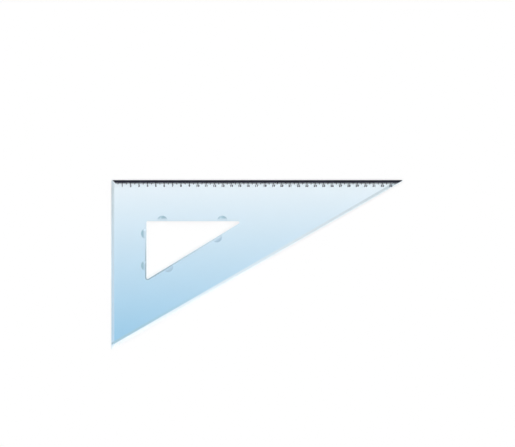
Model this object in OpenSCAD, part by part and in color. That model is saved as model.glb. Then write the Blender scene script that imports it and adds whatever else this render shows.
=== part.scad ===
// Drafting triangle with a printed centimetre scale, cut from clear tinted plastic.
// The scale edge runs along +X from the right angle to the sharp point, the short edge
// runs along -Y, the flat underside lies at Z = 0 and the printed face looks up.

/* [Plate] */
// Length of the scale edge, from the right angle to the sharp point
long_leg = 350; // [300:5:450]
// Angle at the sharp point, between the scale edge and the slanted edge
point_angle = 30; // [27:1:45]
// Thickness of the plate
plate_t = 2.5; // [2:0.1:4]
// Radius of the three outer corners, seen from above
corner_r = 1; // [0.5:0.1:2]

/* [Bevelled edges] */
// Width of the bevels along the scale edge and the short edge, seen from above
bevel_w = 3.5; // [2.5:0.1:6]
// Width of the bevel along the slanted edge, seen from above
slanted_bevel_w = 4.2; // [2.5:0.1:6]
// Height of the upright land under each bevel
land_h = 1; // [0.6:0.1:1.6]

/* [Window] */
// Distance from the scale edge to the window
window_from_scale = 49; // [35:0.5:60]
// Distance from the short edge to the window
window_from_short = 41.7; // [30:0.1:50]
// Length of the window along the scale edge, to its sharp corner
window_long = 115; // [90:1:130]
// Height of the window along the short edge, to its sharp corner
window_short = 70; // [55:1:80]
// Radius of the window's corners
window_r = 1.6; // [1:0.1:5]

/* [Finger dishes] */
// Radius of each dish on the top face
dish_r = 6.3; // [4:0.1:8]
// Depth of each dish at its middle
dish_depth = 1.5; // [0.6:0.1:1.8]
// Dishes on the window's long side: distance from its left end and from its right end
long_side_dishes = [19, 24.5]; // [15:0.5:35]
// Dishes on the window's short side: distance from its top end and from its lower end
short_side_dishes = [15, 17]; // [12:0.5:25]
// Dishes on the window's slanted side: distance from its right end and from its lower end
slanted_side_dishes = [36.5, 30]; // [20:0.5:50]

/* [Printed scale] */
// Distance from the short edge to the zero mark
scale_zero = 3; // [2:0.5:10]
// Distance from one mark to the next
mark_pitch = 1; // [0.8:0.1:2]
// Width of a millimetre mark
mark_w = 0.65; // [0.2:0.05:0.75]
// Width of a half-centimetre or centimetre mark
long_mark_w = 0.9; // [0.2:0.05:1.2]
// Reach of the millimetre marks from the scale edge
millimetre_reach = 4.4; // [3.6:0.1:4.4]
// Reach of the half-centimetre marks from the scale edge
half_centimetre_reach = 5.3; // [4.5:0.1:6]
// Reach of the centimetre marks from the scale edge
centimetre_reach = 5.4; // [4.5:0.1:8]
// Reach of the broad line along the scale edge
line_reach = 3.2; // [0.5:0.1:3.4]
// Bare strip between the print and the scale edge
print_gap = 0.15; // [0.1:0.05:0.4]
// Thickness of the ink
ink_t = 0.05; // [0.02:0.01:0.1]

/* [Hidden] */
$fn = 128;
short_leg = long_leg * tan(point_angle);
outline = [[0, 0], [long_leg, 0], [0, -short_leg]];
window_corner = [window_from_short, -window_from_scale];
window = [window_corner, window_corner + [window_long, 0], window_corner - [0, window_short]];

// Angle at which the rounding of a corner meets the corner's sides
ease = 8;

// Middles of the roundings at the sharp point and at the foot of the short edge, which give the plate's box
point_middle = rounding_middle(outline, 1, corner_r);
foot_middle = rounding_middle(outline, 2, corner_r);
box_x = point_middle.x + corner_r;
box_y = corner_r - foot_middle.y;

dish_sphere_r = (pow(dish_r, 2) + pow(dish_depth, 2)) / (2 * dish_depth);

// Marks in half a centimetre and in a whole one
marks_per_half = 5;
marks_per_centimetre = 2 * marks_per_half;
// Numbers of the marks that still show below the edge line
last_mark = floor((point_middle.x - scale_zero) / mark_pitch);
open_marks = [for (n = [0:last_mark]) if (print_room(scale_zero + n * mark_pitch) > line_reach + mark_w) n];

// How far cutters stand past the faces that they cut
over = 5;

function unit(v) = v / norm(v);

// A triangle's corner: the directions along its two sides, its half angle and the way inwards
function sides(points, i) = [for (k = [1, 2]) unit(points[(i + k) % 3] - points[i])];
function half_angle(points, i) = let (s = sides(points, i)) acos(s[0] * s[1]) / 2;
function inwards(points, i) = let (s = sides(points, i)) unit(s[0] + s[1]);
function rounding_middle(points, i, r) =
    points[i] + inwards(points, i) * r * cos(ease) / sin(half_angle(points, i));

// Depth open to print at a place along the scale edge, on a line through the point's rounding
function print_room(x) = (point_middle.x - x) * tan(point_angle) - point_middle.y;

// Puts the origin under the middle of the plate's box
module in_frame() {
    translate([-box_x / 2, box_y / 2, 0]) children();
}

// What the rounding takes off a triangle's corner, outside a cylinder that spans its two sides
module corner_waste(points, i, r, h) {
    inner = inwards(points, i);
    half = half_angle(points, i);
    reach = r / sin(half);
    translate(rounding_middle(points, i, r)) rotate(atan2(-inner.y, -inner.x)) difference() {
        translate([r * sin(half), -reach, -over]) cube([reach, 2 * reach, h + 2 * over]);
        translate([0, 0, -2 * over]) cylinder(r = r, h = h + 4 * over);
    }
}

// Upright prism on a triangle, with its three corners rounded
module rounded_prism(points, r, h) {
    difference() {
        linear_extrude(h) polygon(points);
        for (i = [0:2]) corner_waste(points, i, r, h);
    }
}

// Wedge that cuts a bevel of width w along the edge from a to b, with the plate on its right
module bevel_wedge(a, b, w) {
    run = b - a;
    slope = (plate_t - land_h) / w;
    low = [over, land_h - over * slope];
    high = [-w - over, plate_t + over * slope];
    translate(a) rotate(atan2(run.y, run.x)) translate([-over, 0, 0]) rotate([90, 0, 90])
        linear_extrude(norm(run) + 2 * over) polygon([low, high, [low.x, high.y]]);
}

module bevels() {
    widths = [bevel_w, slanted_bevel_w, bevel_w];
    for (i = [0:2]) bevel_wedge(outline[i], outline[(i + 1) % 3], widths[i]);
}

// The plate's bevelled form with sharp corners, which the print follows
module print_ground() {
    difference() {
        linear_extrude(plate_t) polygon(outline);
        bevels();
    }
}

// Ball that sinks one finger dish into the top face
module dish_ball(place) {
    translate([place.x, place.y, plate_t + dish_sphere_r - dish_depth]) sphere(r = dish_sphere_r);
}

// Two dishes on the window's side from a to b, set in from its ends
module dish_pair(a, b, set_in) {
    along = unit(b - a);
    dish_ball(a + along * set_in[0]);
    dish_ball(b - along * set_in[1]);
}

// Ink on the top face and the bevels, wherever the shape given covers them
module ink() {
    color([0.05, 0.06, 0.1]) in_frame() difference() {
        intersection() {
            translate([0, 0, ink_t]) print_ground();
            children();
        }
        print_ground();
    }
}

// Area open to print, down to the given reach: cut at 45 degrees beside the right angle,
// and parallel to the slanted edge beside the point
module print_area(reach) {
    slant = (reach + point_middle.y) / tan(point_angle);
    translate([0, 0, land_h / 2]) linear_extrude(plate_t)
        polygon([
            [corner_r + print_gap, -print_gap],
            [point_middle.x, -print_gap],
            point_middle,
            [point_middle.x - slant, -reach],
            [corner_r + reach, -reach]
        ]);
}

// One row of marks of width w that hang from the edge line, cut to the area open to print
module marks(numbers, w, reach) {
    ink() intersection() {
        print_area(reach);
        for (n = numbers) translate([scale_zero + n * mark_pitch - w / 2, -reach - over, 0])
            cube([w, reach + over - line_reach, plate_t + over]);
    }
}

module plate() {
    color([0.66, 0.84, 0.95, 0.6]) in_frame() difference() {
        rounded_prism(outline, corner_r, plate_t);
        bevels();
        translate([0, 0, -over]) rounded_prism(window, window_r, plate_t + 2 * over);
        dish_pair(window[0], window[1], long_side_dishes);
        dish_pair(window[0], window[2], short_side_dishes);
        dish_pair(window[1], window[2], slanted_side_dishes);
    }
}

module scale_edge_line() {
    ink() print_area(line_reach);
}

module millimetre_marks() {
    marks([for (n = open_marks) if (n % marks_per_half != 0) n], mark_w, millimetre_reach);
}

module half_centimetre_marks() {
    halves = [for (n = open_marks) if (n % marks_per_centimetre == marks_per_half) n];
    marks(halves, long_mark_w, half_centimetre_reach);
}

module centimetre_marks() {
    marks([for (n = open_marks) if (n % marks_per_centimetre == 0) n], long_mark_w, centimetre_reach);
}

plate();
scale_edge_line();
millimetre_marks();
half_centimetre_marks();
centimetre_marks();
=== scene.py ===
"""Drafting triangle: a clear blue plate with bevelled edges, a window, finger dishes and a printed scale.

All sizes are in metres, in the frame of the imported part: the scale edge runs along +X from the right angle
to the sharp point, the short edge runs along -Y, and the printed face looks up.
"""

import math
from collections import Counter
from contextlib import contextmanager

import bpy
from bpy.props import FloatProperty, FloatVectorProperty, IntProperty, PointerProperty
from mathutils import Color, Matrix, Vector


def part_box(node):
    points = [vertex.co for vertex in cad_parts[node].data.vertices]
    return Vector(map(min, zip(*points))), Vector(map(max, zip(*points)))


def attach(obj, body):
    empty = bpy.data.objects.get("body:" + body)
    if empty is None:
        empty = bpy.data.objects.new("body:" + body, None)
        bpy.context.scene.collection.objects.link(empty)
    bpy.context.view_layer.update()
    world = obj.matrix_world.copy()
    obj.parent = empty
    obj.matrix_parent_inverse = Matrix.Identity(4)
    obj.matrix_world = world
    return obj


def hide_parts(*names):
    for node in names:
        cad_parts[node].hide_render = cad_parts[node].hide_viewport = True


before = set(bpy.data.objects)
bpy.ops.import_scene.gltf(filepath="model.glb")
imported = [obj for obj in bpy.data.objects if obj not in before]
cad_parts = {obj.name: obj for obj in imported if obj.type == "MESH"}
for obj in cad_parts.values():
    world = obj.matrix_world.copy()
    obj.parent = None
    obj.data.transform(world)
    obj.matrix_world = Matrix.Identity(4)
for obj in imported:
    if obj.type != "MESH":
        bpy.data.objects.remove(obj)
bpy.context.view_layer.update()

bl_info = {
    "name": "Drafting Triangle",
    "version": (1, 0, 0),
    "blender": (4, 5, 0),
    "location": "View3D > Sidebar > Triangle",
    "description": "Builds a clear tinted drafting triangle with a printed scale on a pale studio floor",
    "category": "Mesh",
}

MM = 0.001
PLATE_LOW, PLATE_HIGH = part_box("plate")
INK_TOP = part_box("centimetre_marks")[1].z
INK_NODES = ("scale_edge_line", "millimetre_marks", "half_centimetre_marks", "centimetre_marks")

# Width of the photograph, and its pixels for one millimetre of the printed scale
IMAGE_WIDTH = 515
PIXELS_PER_MM = 0.8395

# Cuts that round off a corner, segments and rings of a dish's ball, and segments across a broken edge
CORNER_CUTS = 11
DISH_SEGMENTS = 96
DISH_RINGS = 96
ARRIS_SEGMENTS = 5

# Least bend at which an edge is broken, and at which the finished plate looks sharp
BROKEN_EDGE = math.radians(40)
SHARP_EDGE = math.radians(21)

# Distances at which a cut takes two points as one, at which the finished plate does, and at which print does
SAME_POINT = 1e-7
MERGED_POINT = 1e-6
PRINTED_POINT = 1e-5

# Height of a digit as a share of its font's size, and the steps along each of its curves
DIGIT_SHARE = 0.682
DIGIT_STEPS = 3

# Waves, specks, clouds and grains of the two finishes: how many to a metre, and how finely broken up
PLASTIC_WAVES = {"Scale": 60, "Detail": 2}
PLASTIC_SPECKS = {"Scale": 900, "Detail": 4}
INK_CLOUDS = {"Scale": 120, "Detail": 2}
INK_GRAINS = {"Scale": 2500, "Detail": 3}

# Bumps of the two finishes: how much of them shows, and how high they are
PLASTIC_BUMP = {"Strength": 0.05, "Distance": 0.02 * MM}
INK_BUMP = {"Strength": 0.2, "Distance": 0.01 * MM}

# Roughness of the two finishes, from the smoothest to the roughest spot, what the milled dishes add to it,
# and roughness of the floor
PLASTIC_ROUGHNESS = (0.02, 0.07)
INK_ROUGHNESS = (0.4, 0.65)
DISH_ROUGHNESS = 0.1
FLOOR_ROUGHNESS = 0.9

# Part of a cloud over which the ink gets thin, and the sheen of the ink
INK_THINNING = (0.35, 0.75)
INK_SHEEN = 0.2

# Refraction of clear acrylic, and the bounces that light takes through it to the floor and out at its edges
PLASTIC_IOR = 1.49
LIGHT_BOUNCES = 48

WHITE = (1, 1, 1, 1)

# Largest value of a part of a screen colour
SCREEN_FULL = 255

# Decimals of a length in the sidebar
LENGTH_DECIMALS = 5


def length(name, description, millimetres):
    """A property for a length, given in millimetres."""
    return FloatProperty(
        name=name,
        description=description,
        default=millimetres * MM,
        precision=LENGTH_DECIMALS,
        subtype="DISTANCE",
        unit="LENGTH",
    )


def length_pair(name, description, millimetres):
    """A property for two lengths, given in millimetres."""
    return FloatVectorProperty(
        name=name,
        description=description,
        default=[size * MM for size in millimetres],
        size=2,
        precision=LENGTH_DECIMALS,
        subtype="TRANSLATION",
        unit="LENGTH",
    )


def angle(name, description, degrees):
    """A property for an angle, given in degrees."""
    return FloatProperty(
        name=name,
        description=description,
        default=math.radians(degrees),
        subtype="ANGLE",
        unit="ROTATION",
    )


def share(name, description, part):
    """A property for a part of a whole, from 0 to 1."""
    return FloatProperty(name=name, description=description, default=part, min=0, max=1, subtype="FACTOR")


def brightness(name, description, strength):
    """A property for the strength of a light, where 1 is white."""
    return FloatProperty(name=name, description=description, default=strength, min=0)


def camera_size(name, description, millimetres):
    """A property for a size inside the camera, given in millimetres."""
    return FloatProperty(name=name, description=description, default=millimetres, unit="CAMERA")


def group(kind, name, description):
    """A property that holds a group of others."""
    return PointerProperty(type=kind, name=name, description=description)


def colour(name, description, *parts):
    """A property for a colour, given by its red, green and blue on a screen."""
    light = Color([part / SCREEN_FULL for part in parts]).from_srgb_to_scene_linear()
    return FloatVectorProperty(
        name=name,
        description=description,
        default=list(light),
        size=3,
        min=0,
        max=1,
        subtype="COLOR",
    )


class PlateSizes(bpy.types.PropertyGroup):
    """Sizes of the plate."""

    point_angle: angle("Point angle", "Angle between the scale edge and the slanted edge", 30)
    corner_radius: length("Corner radius", "Radius of the three outer corners, seen from above", 1)
    bevel_width: length("Bevel width", "Width of the bevels along the scale edge and the short edge", 3.5)
    slanted_bevel_width: length("Slanted bevel width", "Width of the bevel along the slanted edge", 4.2)
    land_height: length("Land height", "Height of the upright land under each bevel", 1)
    arris: length("Arris", "Width of the rounding that breaks each sharp edge", 0.1)
    ink_bed: length("Ink bed", "How deep the print sits in the plate's face", 0.01)


class WindowSizes(bpy.types.PropertyGroup):
    """Sizes of the window and of its finger dishes."""

    from_scale: length("From the scale edge", "Distance from the scale edge to the window", 49)
    from_short: length("From the short edge", "Distance from the short edge to the window", 41.7)
    long_side: length("Long side", "Length of the window along the scale edge, to its sharp corner", 115)
    short_side: length("Short side", "Height of the window along the short edge, to its sharp corner", 70)
    corner_radius: length("Corner radius", "Radius of the window's corners", 1.6)
    dish_radius: length("Dish radius", "Radius of each finger dish on the top face", 6.3)
    dish_depth: length("Dish depth", "Depth of each finger dish at its middle", 1.5)
    long_dishes: length_pair("Dishes on the long side", "Distances from its left and right end", (19, 24.5))
    short_dishes: length_pair("Dishes on the short side", "Distances from its top and lower end", (15, 17))
    slanted_dishes: length_pair("Dishes on the slant", "Distances from its right and lower end", (36.5, 30))


class PrintSizes(bpy.types.PropertyGroup):
    """Sizes and places of the printed numbers."""

    zero: length("Zero mark", "Distance from the short edge to the zero mark", 3)
    step: length("Step", "Distance from one number to the next", 10)
    last_number: IntProperty(name="Last number", description="Number at the last numbered mark", default=33)
    numeral_height: length("Numeral height", "Height of the numbers before they are made bolder", 2.35)
    numeral_top: length("Numeral top", "Distance from the scale edge to the top of the numbers", 5.7)
    numeral_weight: length("Numeral weight", "How much bolder the numbers are than plain type", 0.2)
    numeral_width: share("Numeral width", "Width of the numbers as a share of plain type", 0.97)
    digit_step: length("Digit step", "Distance from one digit of a number to the next", 2)


class Colours(bpy.types.PropertyGroup):
    """Colours of the plate as it looks on the floor, with its painted light and shade, and of the ink and
    the floor.
    """

    # The blue tint, with a painted gradient of light: paler at the scale edge, deeper at the foot
    scale_side: colour("Scale side", "The plate on white paper, at the scale edge", 233, 243, 249)
    foot_side: colour("Foot side", "The plate on white paper, at the foot of the short edge", 156, 202, 231)
    # Painted shade greys the short bevel, most at the top; towards the foot it is paler, as the thin plastic
    # holds less tint
    short_bevel_top: colour("Short bevel, top", "The short bevel at the right angle", 207, 219, 225)
    short_bevel_foot: colour("Short bevel, foot", "The short bevel at the foot", 192, 219, 240)
    # Painted shade on the slanted bevel at the point, turning into a painted highlight towards the foot
    slanted_bevel_point: colour("Slanted bevel, point", "The slanted bevel at the point", 200, 214, 221)
    slanted_bevel_middle: colour("Slanted bevel, middle", "The slanted bevel half way", 221, 234, 243)
    slanted_bevel_foot: colour("Slanted bevel, foot", "The slanted bevel at the foot", 247, 252, 253)
    # A painted highlight along the slanted bevel's outer rim
    slanted_lip: colour("Slanted lip", "The outer rim of the slanted bevel", 240, 250, 254)
    # Painted shade in the crease beside the slanted bevel
    crease: colour("Crease", "The crease beside the slanted bevel, near the foot", 173, 201, 214)
    # Painted shade on the steep rims of the finger dishes
    dish_rim: colour("Dish rim", "The steep rim of a finger dish", 164, 195, 210)
    slanted_dish_rim: colour("Slanted dish rim", "The rim of a dish on the slanted side", 175, 201, 220)
    # Painted shade along the window's rim
    window_rim: colour("Window rim", "The window's rim, if the plate had no tint", 178, 175, 171)
    ink: colour("Ink", "The printed marks and numbers", 24, 25, 38)
    thin_ink: colour("Thin ink", "The print where its ink is thinnest", 37, 38, 53)
    floor: colour("Floor", "The studio floor", 255, 255, 255)


class FinishSizes(bpy.types.PropertyGroup):
    """Gloss of the plate, and where its tints, its painted shade and its painted highlights lie."""

    gloss: share("Gloss", "Share of the studio's light that the plate's face throws back", 0.075)
    soft: length("Soft border", "Half width of the soft border between two tints", 0.3)
    # Where the painted shade along the window's rim lies
    rim: length_pair("Window rim", "Distances from the window between which its rim is dark", (0.5, 1.3))
    # Where the painted shade in each finger dish lies
    crescent: length_pair("Dish crescent", "Distances from the window over which a dish deepens", (1, 5))
    # Width of the painted highlight on the slanted bevel's lip
    lip: length("Lip", "Width over which the slanted bevel's pale lip fades", 2.2)
    tip: share("Tip", "Share of the short bevel's tint that is left at the tip of the foot", 0.4)
    # Where the painted shade in the crease lies, and how far down it starts
    crease: length_pair("Crease", "Distances from the slanted bevel between which it lies", (0.6, 2.6))
    crease_start: share("Crease start", "Share of the way down to the foot at which the crease starts", 0.6)


class StageSizes(bpy.types.PropertyGroup):
    """Floor, light and camera."""

    floor_width: length("Floor width", "Width of the square floor", 40000)
    floor_gap: length("Floor gap", "Air between the floor and the plate", 0.2)
    floor_glow: share("Floor glow", "How far the floor is plain white under its shadows", 0.5)
    zenith: brightness("Zenith", "Brightness of the studio straight above", 1)
    horizon: brightness("Horizon", "Brightness of the studio at the horizon", 0.55)
    softbox: brightness("Softbox", "Brightness that the softbox adds", 4)
    softbox_turn: angle("Softbox turn", "Direction of the softbox around the plate, from +X", -71.5)
    softbox_height: angle("Softbox height", "Angle of the softbox above the floor", 48.7)
    softbox_core: angle("Softbox core", "Half width of the softbox at full brightness", 4)
    softbox_reach: angle("Softbox reach", "Half width at which the softbox has faded away", 18)
    camera_lens: camera_size("Lens", "Focal length of the camera", 100)
    camera_sensor: camera_size("Sensor", "Width of the camera's sensor", 36)
    camera_aim: length_pair("Camera aim", "Place under the camera, from the plate's middle", (0.5, 48.85))


class TriangleSettings(bpy.types.PropertyGroup):
    """All that can be set, in groups."""

    plate: group(PlateSizes, "Plate", "Sizes of the plate")
    window: group(WindowSizes, "Window", "Sizes of the window and its dishes")
    numbers: group(PrintSizes, "Numbers", "Sizes of the printed numbers")
    colours: group(Colours, "Colours", "Colours of the plate, print and floor")
    # The gloss, the soft borders, and where the painted shade and highlights lie
    finish: group(FinishSizes, "Finish", "Gloss of the plate, and where its tints lie")
    stage: group(StageSizes, "Stage", "Floor, light and camera")


def settings():
    """The sizes and colours in use."""
    return bpy.context.scene.drafting_triangle


class Flow:
    """A socket in a shader's nodes. Arithmetic on it adds Math nodes, and add() puts in any other node."""

    def __init__(self, tree, socket=None):
        self.tree = tree
        self.socket = socket

    def add(self, kind, options=None, **sockets):
        """Adds a node, sets its options and then its sockets, and returns its first output."""
        node = self.tree.nodes.new("ShaderNode" + kind)
        for name, value in (options or {}).items():
            setattr(node, name, value)
        for name, value in sockets.items():
            socket = find_socket(node.inputs, name)
            if isinstance(value, Flow):
                self.tree.links.new(value.socket, socket)
            else:
                socket.default_value = value
        outputs = [socket for socket in node.outputs if socket.enabled]
        return Flow(self.tree, outputs[0] if outputs else None)

    def out(self, name):
        """Another output of the same node."""
        return Flow(self.tree, find_socket(self.socket.node.outputs, name))

    def math(self, operation, first, second):
        """A Math node on two values."""
        return self.add("Math", {"operation": operation}, _0=first, _1=second)

    def __add__(self, other):
        return self.math("ADD", self, other)

    def __radd__(self, other):
        return self.math("ADD", other, self)

    def __sub__(self, other):
        return self.math("SUBTRACT", self, other)

    def __rsub__(self, other):
        return self.math("SUBTRACT", other, self)

    def __mul__(self, other):
        return self.math("MULTIPLY", self, other)

    def __rmul__(self, other):
        return self.math("MULTIPLY", other, self)

    def __truediv__(self, other):
        return self.math("DIVIDE", self, other)


def find_socket(sockets, name):
    """A socket in use, by its name with _ for a space, or by its number after a leading _."""
    if name[1:].isdigit():
        return sockets[int(name[1:])]
    return next(socket for socket in sockets if socket.enabled and socket.name == name.replace("_", " "))


def smooth(value, start, end):
    """A soft step of a shader value: 0 before start and 1 after end."""
    return value.add(
        "MapRange", {"interpolation_type": "SMOOTHSTEP"}, Value=value, From_Min=start, From_Max=end
    )


def below(value, end, soft):
    """A soft border of a shader value: 1 before end and 0 past it."""
    return 1 - smooth(value, end - soft, end + soft)


def strip(value, start, end, soft):
    """A strip with soft borders: 1 where a shader value lies between start and end."""
    return smooth(value, start - soft, start + soft) * below(value, end, soft)


def between(part, low, high):
    """A shader value from low to high, as part goes from 0 to 1."""
    return low + (high - low) * part


def blend(part, first, second, way="MIX"):
    """First colour where part is 0 or less, and the second one mixed into it where part is 1 or more."""
    return part.add("Mix", {"data_type": "RGBA", "blend_type": way}, Factor=part, A=first, B=second)


def vector_math(operation, first, second):
    """A Vector Math node on a shader's place or direction and another one."""
    return first.add("VectorMath", {"operation": operation}, _0=first, _1=second)


def segment_distance(place, start, end):
    """Distance in plan from a flat shader place to the segment between two points."""
    run = (end - start).to_3d()
    from_start = vector_math("SUBTRACT", place, start.to_3d())
    along = vector_math("DOT_PRODUCT", from_start, run / run.length_squared)
    part = along.add("Clamp", Value=along)
    nearest = part.add("VectorMath", {"operation": "SCALE"}, _0=run, Scale=part)
    return vector_math("DISTANCE", from_start, nearest)


def pick(operation, values):
    """One of some shader values: their MINIMUM or their MAXIMUM."""
    picked, *others = values
    for other in others:
        picked = picked.math(operation, picked, other)
    return picked


class Outline:
    """The plate's outer triangle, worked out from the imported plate's box."""

    def __init__(self):
        sizes = settings().plate
        # What the rounding takes off the sharp point
        lost_at_point = sizes.corner_radius * (1 / math.tan(sizes.point_angle / 2) - 1)
        self.angle = sizes.point_angle
        self.left = PLATE_LOW.x
        self.top = PLATE_HIGH.y
        self.long_leg = PLATE_HIGH.x - PLATE_LOW.x + lost_at_point
        self.short_leg = self.long_leg * math.tan(sizes.point_angle)
        self.face = PLATE_HIGH.z + sizes.ink_bed
        self.corners = right_triangle(self.left, self.top, self.long_leg, self.short_leg)
        widths = (sizes.bevel_width, sizes.slanted_bevel_width, sizes.bevel_width)
        self.slopes = [(PLATE_HIGH.z - sizes.land_height) / width for width in widths]

    def from_slanted(self, x, y):
        """Distance in from the slanted edge, of a number or a shader value."""
        return (self.left + self.long_leg - x) * math.sin(self.angle) - (self.top - y) * math.cos(self.angle)


def right_triangle(left, top, long_leg, short_leg):
    """Corners of a triangle: its right angle at the top left, its sharp point and its foot."""
    corner = Vector((left, top))
    return [corner, corner + Vector((long_leg, 0)), corner - Vector((0, short_leg))]


def window_corners():
    """Corners of the window, as they are before they get rounded."""
    sizes = settings().window
    outline = Outline()
    left = outline.left + sizes.from_short
    top = outline.top - sizes.from_scale
    return right_triangle(left, top, sizes.long_side, sizes.short_side)


def dish_middles():
    """Middles of the six finger dishes, two on each side of the window."""
    sizes = settings().window
    corner, point, foot = window_corners()
    middles = []
    for start, end, ends in (
        (corner, point, sizes.long_dishes),
        (corner, foot, sizes.short_dishes),
        (point, foot, sizes.slanted_dishes),
    ):
        along = (end - start).normalized()
        middles += [start + along * ends[0], end - along * ends[1]]
    return middles


def corner_middle(corners, i, radius):
    """Middle of the rounding at a triangle's corner."""
    ways = [(corners[i - k] - corners[i]).normalized() for k in (1, 2)]
    half = ways[0].angle(ways[1]) / 2
    return corners[i] + (ways[0] + ways[1]).normalized() * radius / math.sin(half)


def outwards(corners, i):
    """Direction out of a triangle, across the side that starts at corner i."""
    along = (corners[(i + 1) % 3] - corners[i]).normalized()
    out = Vector((-along.y, along.x))
    inside = corners[(i + 2) % 3] - corners[i]
    return -out if out.dot(inside) > 0 else out


def use_only(piece):
    """Makes one object the only selected one, and the active one."""
    bpy.ops.object.select_all(action="DESELECT")
    piece.select_set(True)
    bpy.context.view_layer.objects.active = piece


@contextmanager
def edit_mode(piece):
    """Edit mode on one piece, with its whole mesh selected."""
    use_only(piece)
    bpy.ops.object.mode_set(mode="EDIT")
    bpy.ops.mesh.select_all(action="SELECT")
    yield
    bpy.ops.object.mode_set(mode="OBJECT")


def cut(place, way):
    """Cuts the mesh in edit mode along a plane and takes off what lies past it."""
    bpy.ops.mesh.select_all(action="SELECT")
    bpy.ops.mesh.bisect(plane_co=place, plane_no=way, use_fill=True, clear_outer=True, threshold=SAME_POINT)


def triangle_prism(name, corners, radius, low, high):
    """Upright prism on a right triangle with round corners: a block cut along its slant and filed round."""
    corner, point, foot = corners
    size = Vector((point.x - corner.x, corner.y - foot.y, high - low))
    middle = Vector((point.x + corner.x, corner.y + foot.y, high + low)) / 2
    bpy.ops.object.select_all(action="DESELECT")
    bpy.ops.mesh.primitive_cube_add(size=1, location=middle, scale=size)
    bpy.ops.object.transform_apply()
    prism = bpy.context.object
    prism.name = prism.data.name = name
    with edit_mode(prism):
        cut(point.to_3d(), outwards(corners, 1).to_3d())
        for i in range(3):
            round_corner(corners, i, radius)
    return prism


def round_corner(corners, i, radius):
    """Files an upright corner round, with cuts that all touch the rounding."""
    middle = corner_middle(corners, i, radius)
    before = outwards(corners, i - 1)
    turn = -before.angle_signed(outwards(corners, i))
    for k in range(CORNER_CUTS):
        way = Matrix.Rotation(turn * (k + 1) / (CORNER_CUTS + 1), 2) @ before
        cut((middle + way * radius).to_3d(), way.to_3d())


def carve(piece, cutter):
    """Cuts one piece out of another, and takes the cutter away."""
    use_only(piece)
    bpy.ops.object.modifier_add(type="BOOLEAN")
    boolean = piece.modifiers[-1]
    boolean.operation = "DIFFERENCE"
    boolean.solver = "EXACT"
    boolean.object = cutter
    bpy.ops.object.modifier_apply(modifier=boolean.name)
    bpy.data.objects.remove(cutter)


def copy_to(piece, place, turn=0):
    """A copy of a piece with its own mesh, turned about the upright axis and moved to a place."""
    use_only(piece)
    bpy.ops.object.duplicate()
    copied = bpy.context.object
    copied.location = place
    copied.rotation_euler.z = turn
    bpy.ops.object.transform_apply()
    return copied


def join(pieces, name):
    """Makes one piece of several."""
    use_only(pieces[0])
    for piece in pieces:
        piece.select_set(True)
    bpy.ops.object.join()
    joined = bpy.context.object
    joined.name = joined.data.name = name
    return joined


def cut_bevels(outline):
    """Cuts the bevels along the three outer edges, in edit mode."""
    rise = settings().plate.land_height + settings().plate.ink_bed
    for i, corner in enumerate(outline.corners):
        out = outwards(outline.corners, i) * outline.slopes[i]
        cut((corner.x, corner.y, rise), (out.x, out.y, 1))


def window_cutter(outline):
    """A prism that cuts the window, as far past both faces as the plate is thick."""
    over = outline.face
    return triangle_prism("window", window_corners(), settings().window.corner_radius, -over, 2 * over)


def dish_cutter(outline):
    """Six balls that sink the finger dishes, cut off above the plate so that they stay apart."""
    sizes = settings().window
    ball = (sizes.dish_radius**2 + sizes.dish_depth**2) / (2 * sizes.dish_depth)
    middle = outline.face - sizes.dish_depth + ball
    bpy.ops.object.select_all(action="DESELECT")
    bpy.ops.mesh.primitive_uv_sphere_add(
        segments=DISH_SEGMENTS, ring_count=DISH_RINGS, radius=ball, location=(0, 0, middle)
    )
    bpy.ops.object.transform_apply()
    first = bpy.context.object
    with edit_mode(first):
        cut((0, 0, outline.face + sizes.dish_depth), (0, 0, 1))
    balls = [copy_to(first, place.to_3d()) for place in dish_middles()]
    bpy.data.objects.remove(first)
    return join(balls, "dish_balls")


def break_edges(piece, width):
    """Rounds off a piece's sharp edges."""
    use_only(piece)
    bpy.ops.object.modifier_add(type="BEVEL")
    bevel = piece.modifiers[-1]
    bevel.width = width
    bevel.segments = ARRIS_SEGMENTS
    bevel.limit_method = "ANGLE"
    bevel.angle_limit = BROKEN_EDGE
    bevel.use_clamp_overlap = False
    bpy.ops.object.modifier_apply(modifier=bevel.name)


def finish_mesh(piece):
    """Merges a piece's doubled points, turns its faces outwards and smooths it between its sharp edges."""
    with edit_mode(piece):
        bpy.ops.mesh.remove_doubles(threshold=MERGED_POINT)
        bpy.ops.mesh.normals_make_consistent(inside=False)
    bpy.ops.object.shade_smooth_by_angle(angle=SHARP_EDGE)
    bpy.ops.object.modifier_add(type="WEIGHTED_NORMAL")
    piece.modifiers[-1].keep_sharp = True
    bpy.ops.object.modifier_apply(modifier=piece.modifiers[-1].name)


def check_closed(piece):
    """Raises an error unless every edge of a piece's mesh lies between two faces."""
    uses = Counter(edge for face in piece.data.polygons for edge in face.edge_keys)
    if set(uses.values()) != {2}:
        raise RuntimeError(piece.name + " isn't closed")


def new_material(name):
    """An empty material, and its nodes to add to."""
    material = bpy.data.materials.new(name)
    material.use_nodes = True
    material.node_tree.nodes.clear()
    return material, Flow(material.node_tree)


def dress(piece, material):
    """Gives a piece its one material."""
    piece.data.materials.clear()
    piece.data.materials.append(material)


def plate_tint(shown):
    """Tint of the plastic that shows a colour over the floor, under its gloss.

    The floor's own glow crosses the plate once, and the light that falls on the floor crosses it twice, so
    what comes through is once * tint + twice * tint**2, and this is solved for the tint.
    """
    gloss = settings().finish.gloss
    once = settings().stage.floor_glow
    twice = 1 - once
    through = [max(part - gloss, 0) / (1 - gloss) for part in shown]
    return [2 * part / (once + math.sqrt(once**2 + 4 * twice * part)) for part in through] + [1]


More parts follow.
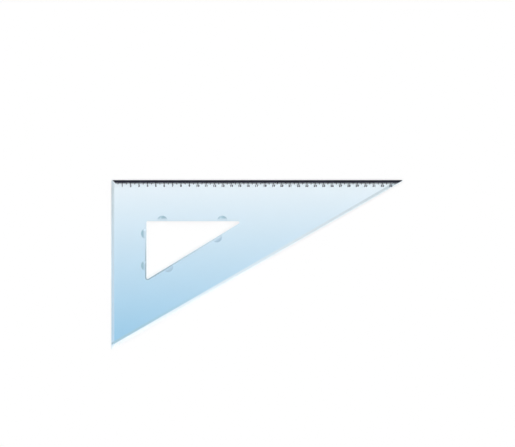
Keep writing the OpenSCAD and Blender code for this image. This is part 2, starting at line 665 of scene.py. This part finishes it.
class Spot:
    """Shader values that say where a spot of the plate lies."""

    def __init__(self, nodes, outline):
        self.place = nodes.add("TexCoord").out("Object")
        self.flat = vector_math("MULTIPLY", self.place, (1, 1, 0))
        axes = nodes.add("SeparateXYZ", Vector=self.place)
        x, y = axes.out("X"), axes.out("Y")
        self.from_scale = outline.top - y
        self.from_short = x - outline.left
        self.from_slanted = outline.from_slanted(x, y)
        self.way_down = self.from_scale / outline.short_leg
        radius = settings().window.corner_radius
        middles = [corner_middle(window_corners(), i, radius) for i in range(3)]
        sides = [segment_distance(self.flat, middles[i - 1], middles[i]) - radius for i in range(3)]
        self.from_window = pick("MINIMUM", sides)
        self.from_window_slant = sides[2]
        dishes = [vector_math("DISTANCE", self.flat, middle.to_3d()) for middle in dish_middles()]
        dish_radius = settings().window.dish_radius
        from_middle = pick("MINIMUM", dishes)
        self.in_dish = 1 - smooth(from_middle, dish_radius, dish_radius + settings().finish.soft)


def two_tints(part, first, second):
    """The tint that shows one colour where part is 0 and another where it is 1."""
    return blend(part, plate_tint(first), plate_tint(second))


def tint_window_rim(spot, tint):
    """Paints shade on the rim beside the window, darker towards its lower end."""
    window = settings().window
    finish = settings().finish
    lower = smooth(spot.from_scale, window.from_scale, window.from_scale + window.short_side)
    rim = strip(spot.from_window, *finish.rim, finish.soft) * lower
    return blend(rim, tint, plate_tint(settings().colours.window_rim), "MULTIPLY")


def tint_dishes(spot, tint):
    """Paints shade in each finger dish, deepening towards its steep side, away from the window."""
    colours = settings().colours
    finish = settings().finish
    crescent = spot.in_dish * smooth(spot.from_window, *finish.crescent)
    on_slant = below(spot.from_window_slant, settings().window.dish_radius, finish.soft)
    return blend(crescent, tint, two_tints(on_slant, colours.dish_rim, colours.slanted_dish_rim))


def tint_short_bevel(spot, tint):
    """Gives the short edge's bevel its own tint up to the mitre at the right angle: greyed by painted shade,
    most at the top, and paler than the face towards the foot, where the thin plastic holds less tint.
    """
    colours = settings().colours
    soft = settings().finish.soft
    on_bevel = below(spot.from_short, settings().plate.bevel_width, soft)
    on_bevel = on_bevel * smooth(spot.from_scale - spot.from_short, -soft, soft)
    return blend(on_bevel, tint, two_tints(spot.way_down, colours.short_bevel_top, colours.short_bevel_foot))


def tint_slanted_bevel(spot, tint):
    """Gives the slanted edge's bevel its own tint, with painted shade at the point and a painted highlight
    towards the foot beside the softbox's own, and a pale lip of painted highlight, down to the tip of the
    foot.
    """
    colours = settings().colours
    finish = settings().finish
    halves = 2 * spot.way_down
    bevel = two_tints(halves, colours.slanted_bevel_point, colours.slanted_bevel_middle)
    bevel = blend(halves - 1, bevel, plate_tint(colours.slanted_bevel_foot))
    bevel = blend(smooth(spot.from_slanted, 0, finish.lip), plate_tint(colours.slanted_lip), bevel)
    on_bevel = below(spot.from_slanted, settings().plate.slanted_bevel_width, finish.soft)
    past_mitre = below(spot.from_short - spot.from_slanted, 0, finish.soft)
    return blend(on_bevel * (1 - finish.tip * past_mitre), tint, bevel)


def tint_crease(spot, tint):
    """Paints shade in the crease where the face meets the slanted bevel, near the foot."""
    finish = settings().finish
    start, end = [settings().plate.slanted_bevel_width + distance for distance in finish.crease]
    near_foot = smooth(spot.way_down, finish.crease_start, 1)
    crease = strip(spot.from_slanted, start, end, 2 * finish.soft) * near_foot
    return blend(crease, tint, plate_tint(settings().colours.crease))


def tinted_plastic(outline):
    """Clear blue plastic with a painted gradient of light, paler at the scale edge and deeper towards the
    foot, painted shade on its bevels, dish rims, window rim and crease, and a painted highlight along the
    slanted bevel.
    """
    colours = settings().colours
    material, nodes = new_material("clear_blue_plastic")
    spot = Spot(nodes, outline)
    # Blue tint with a painted gradient of light, paler at the scale edge and deeper towards the foot
    tint = two_tints(spot.way_down, colours.scale_side, colours.foot_side)
    # Then painted shade and highlights on the window rim, dishes, bevels and crease
    for add_shading in (tint_window_rim, tint_dishes, tint_short_bevel, tint_slanted_bevel, tint_crease):
        tint = add_shading(spot, tint)
    wave = nodes.add("TexNoise", Vector=spot.place, **PLASTIC_WAVES)
    specks = nodes.add("TexNoise", Vector=spot.place, **PLASTIC_SPECKS)
    shader = nodes.add(
        "BsdfPrincipled",
        Base_Color=tint,
        Roughness=between(specks, *PLASTIC_ROUGHNESS) + DISH_ROUGHNESS * spot.in_dish,
        IOR=PLASTIC_IOR,
        Transmission_Weight=1,
        Normal=nodes.add("Bump", Height=wave, **PLASTIC_BUMP),
    )
    nodes.add("OutputMaterial", Surface=shader)
    return material


def scale_ink():
    """Matt blue-black printing ink with thin clouds and a fine grain."""
    colours = settings().colours
    material, nodes = new_material("scale_ink")
    place = nodes.add("TexCoord").out("Object")
    cloud = nodes.add("TexNoise", Vector=place, **INK_CLOUDS)
    grain = nodes.add("TexNoise", Vector=place, **INK_GRAINS)
    shader = nodes.add(
        "BsdfPrincipled",
        Base_Color=blend(smooth(cloud, *INK_THINNING), [*colours.ink, 1], [*colours.thin_ink, 1]),
        Roughness=between(grain, *INK_ROUGHNESS),
        Specular_IOR_Level=INK_SHEEN,
        Normal=nodes.add("Bump", Height=grain, **INK_BUMP),
    )
    nodes.add("OutputMaterial", Surface=shader)
    return material


def ink_material():
    """The printing ink, made once for all that is printed."""
    return bpy.data.materials.get("scale_ink") or scale_ink()


class TRIANGLE_OT_plate(bpy.types.Operator):
    """Model the clear plate with its bevels, window and finger dishes"""

    bl_idname = "drafting_triangle.plate"
    bl_label = "Plate"

    def execute(self, context):
        outline = Outline()
        sizes = settings().plate
        plate = triangle_prism("clear_plate", outline.corners, sizes.corner_radius, 0, outline.face)
        with edit_mode(plate):
            cut_bevels(outline)
        carve(plate, window_cutter(outline))
        break_edges(plate, sizes.arris)
        carve(plate, dish_cutter(outline))
        finish_mesh(plate)
        check_closed(plate)
        dress(plate, tinted_plastic(outline))
        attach(plate, "root")
        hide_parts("plate")
        return {"FINISHED"}


def print_digit(digit):
    """One bold digit, as thin as the ink and with the middle of its foot at the origin."""
    sizes = settings().numbers
    bpy.ops.object.select_all(action="DESELECT")
    bpy.ops.object.text_add()
    text = bpy.context.object
    text.data.body = str(digit)
    text.data.align_x = "CENTER"
    text.data.resolution_u = DIGIT_STEPS
    text.data.offset = sizes.numeral_weight
    text.data.size = sizes.numeral_height / DIGIT_SHARE
    bpy.ops.object.convert(target="MESH")
    printed = bpy.context.object
    printed.scale.x = sizes.numeral_width
    bpy.ops.object.transform_apply()
    with edit_mode(printed):
        bpy.ops.mesh.remove_doubles(threshold=PRINTED_POINT)
        bpy.ops.mesh.beautify_fill()
        bpy.ops.mesh.select_all(action="SELECT")
        bpy.ops.mesh.extrude_region_move(TRANSFORM_OT_translate={"value": (0, 0, INK_TOP - PLATE_HIGH.z)})
        bpy.ops.mesh.select_all(action="SELECT")
        bpy.ops.mesh.normals_make_consistent(inside=False)
    return printed


def print_digits():
    """The ten digits, with the six turned upside down for the nine."""
    digits = [print_digit(digit) for digit in range(9)]
    return [*digits, copy_to(digits[6], (0, settings().numbers.numeral_height, 0), math.pi)]


def print_number(number, top, digits):
    """Copies of a number's digits, side by side, with the middle of the number's top at a place."""
    sizes = settings().numbers
    foot = top - Vector((0, sizes.numeral_height))
    written = str(number)
    copies = []
    for i, digit in enumerate(written):
        across = (i - (len(written) - 1) / 2) * sizes.digit_step
        copies.append(copy_to(digits[int(digit)], (foot.x + across, foot.y, PLATE_HIGH.z)))
    return copies


def fold_print(printed, outline):
    """Lets the print follow the slanted edge's bevel down, folded where the bevel starts."""
    bevel = settings().plate.slanted_bevel_width
    out = outwards(outline.corners, 1)
    fold = outline.corners[1] - out * bevel
    with edit_mode(printed):
        bpy.ops.mesh.quads_convert_to_tris()
        bpy.ops.mesh.bisect(plane_co=fold.to_3d(), plane_no=out.to_3d(), threshold=SAME_POINT)
    for vertex in printed.data.vertices:
        past_fold = bevel - outline.from_slanted(vertex.co.x, vertex.co.y)
        vertex.co.z -= outline.slopes[1] * max(0, past_fold)


class TRIANGLE_OT_numerals(bpy.types.Operator):
    """Print the numbers beside the centimetre marks"""

    bl_idname = "drafting_triangle.numerals"
    bl_label = "Numerals"

    def execute(self, context):
        outline = Outline()
        sizes = settings().numbers
        digits = print_digits()
        printed = []
        for number in range(1, sizes.last_number + 1):
            from_corner = Vector((sizes.zero + number * sizes.step, -sizes.numeral_top))
            printed += print_number(number, outline.corners[0] + from_corner, digits)
        for digit in digits:
            bpy.data.objects.remove(digit)
        numerals = join(printed, "scale_numerals")
        fold_print(numerals, outline)
        check_closed(numerals)
        dress(numerals, ink_material())
        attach(numerals, "root")
        return {"FINISHED"}


class TRIANGLE_OT_marks(bpy.types.Operator):
    """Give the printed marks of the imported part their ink"""

    bl_idname = "drafting_triangle.marks"
    bl_label = "Marks"

    def execute(self, context):
        for name in INK_NODES:
            dress(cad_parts[name], ink_material())
        return {"FINISHED"}


def add_floor():
    """A matt white floor, which shows partly as plain white so that the plate's shadow on it is faint."""
    sizes = settings().stage
    bpy.ops.object.select_all(action="DESELECT")
    bpy.ops.mesh.primitive_plane_add(size=sizes.floor_width, location=(0, 0, -sizes.floor_gap))
    bpy.ops.object.transform_apply()
    floor = bpy.context.object
    floor.name = floor.data.name = "studio_floor"
    material, nodes = new_material("studio_floor")
    shader = nodes.add(
        "BsdfPrincipled",
        Base_Color=[*settings().colours.floor, 1],
        Roughness=FLOOR_ROUGHNESS,
        Specular_IOR_Level=0,
    )
    rays = nodes.add("LightPath")
    seen = pick("MAXIMUM", [rays.out(f"Is {kind} Ray") for kind in ("Camera", "Glossy", "Transmission")])
    white = nodes.add("Emission", Color=WHITE, Strength=1)
    lit = nodes.add("MixShader", Fac=seen * sizes.floor_glow, _1=shader, _2=white)
    nodes.add("OutputMaterial", Surface=lit)
    dress(floor, material)


def add_light():
    """A studio that is a little brighter above than at its sides, with one softbox."""
    sizes = settings().stage
    world = bpy.data.worlds.new("studio")
    bpy.context.scene.world = world
    world.use_nodes = True
    world.node_tree.nodes.clear()
    nodes = Flow(world.node_tree)
    way = nodes.add("TexCoord")
    up = nodes.add("SeparateXYZ", Vector=way).out("Z")
    towards = Vector((math.cos(sizes.softbox_height), 0, math.sin(sizes.softbox_height)))
    towards.rotate(Matrix.Rotation(sizes.softbox_turn, 3, "Z"))
    softbox = smooth(
        vector_math("DOT_PRODUCT", way, towards), math.cos(sizes.softbox_reach), math.cos(sizes.softbox_core)
    )
    strength = between(up, sizes.horizon, sizes.zenith) + sizes.softbox * softbox
    nodes.add("OutputWorld", Surface=nodes.add("Background", Color=WHITE, Strength=strength))


def add_camera():
    """A camera straight above, as far away as the photograph's scale needs."""
    sizes = settings().stage
    away = IMAGE_WIDTH * sizes.camera_lens / (sizes.camera_sensor * PIXELS_PER_MM) * MM
    middle = (PLATE_LOW + PLATE_HIGH) / 2
    place = (middle.x + sizes.camera_aim[0], middle.y + sizes.camera_aim[1], PLATE_HIGH.z + away)
    bpy.ops.object.select_all(action="DESELECT")
    bpy.ops.object.camera_add(location=place, rotation=(0, 0, 0))
    camera = bpy.context.object
    camera.name = camera.data.name = "camera_above"
    camera.data.lens = sizes.camera_lens
    camera.data.sensor_width = sizes.camera_sensor
    bpy.context.scene.camera = camera


class TRIANGLE_OT_stage(bpy.types.Operator):
    """Set up the floor, the light and the camera"""

    bl_idname = "drafting_triangle.stage"
    bl_label = "Stage"

    def execute(self, context):
        context.scene.view_settings.view_transform = "Standard"
        cycles = context.scene.cycles
        cycles.blur_glossy = 0
        cycles.max_bounces = cycles.glossy_bounces = cycles.transmission_bounces = LIGHT_BOUNCES
        add_floor()
        add_light()
        add_camera()
        return {"FINISHED"}


OPERATORS = (TRIANGLE_OT_stage, TRIANGLE_OT_plate, TRIANGLE_OT_numerals, TRIANGLE_OT_marks)


class TRIANGLE_PT_sidebar(bpy.types.Panel):
    """Sizes, colours and steps of the drafting triangle"""

    bl_idname = "TRIANGLE_PT_sidebar"
    bl_label = "Drafting Triangle"
    bl_space_type = "VIEW_3D"
    bl_region_type = "UI"
    bl_category = "Triangle"

    def draw(self, context):
        for heading in TriangleSettings.__annotations__:
            box = self.layout.box()
            box.label(text=heading.capitalize())
            values = getattr(settings(), heading)
            for name in values.__annotations__:
                box.prop(values, name)
        for operator in OPERATORS:
            self.layout.operator(operator.bl_idname)


CLASSES = (
    PlateSizes,
    WindowSizes,
    PrintSizes,
    Colours,
    FinishSizes,
    StageSizes,
    TriangleSettings,
    *OPERATORS,
    TRIANGLE_PT_sidebar,
)


def register():
    """Makes the classes and the scene's settings known to Blender."""
    for cls in CLASSES:
        bpy.utils.register_class(cls)
    bpy.types.Scene.drafting_triangle = PointerProperty(type=TriangleSettings)


def unregister():
    """Takes the settings and the classes out of Blender again."""
    del bpy.types.Scene.drafting_triangle
    for cls in reversed(CLASSES):
        bpy.utils.unregister_class(cls)


def main():
    """Builds the stage and all pieces."""
    register()
    bpy.ops.drafting_triangle.stage()
    bpy.ops.drafting_triangle.plate()
    bpy.ops.drafting_triangle.numerals()
    bpy.ops.drafting_triangle.marks()


if __name__ == "__main__":
    main()
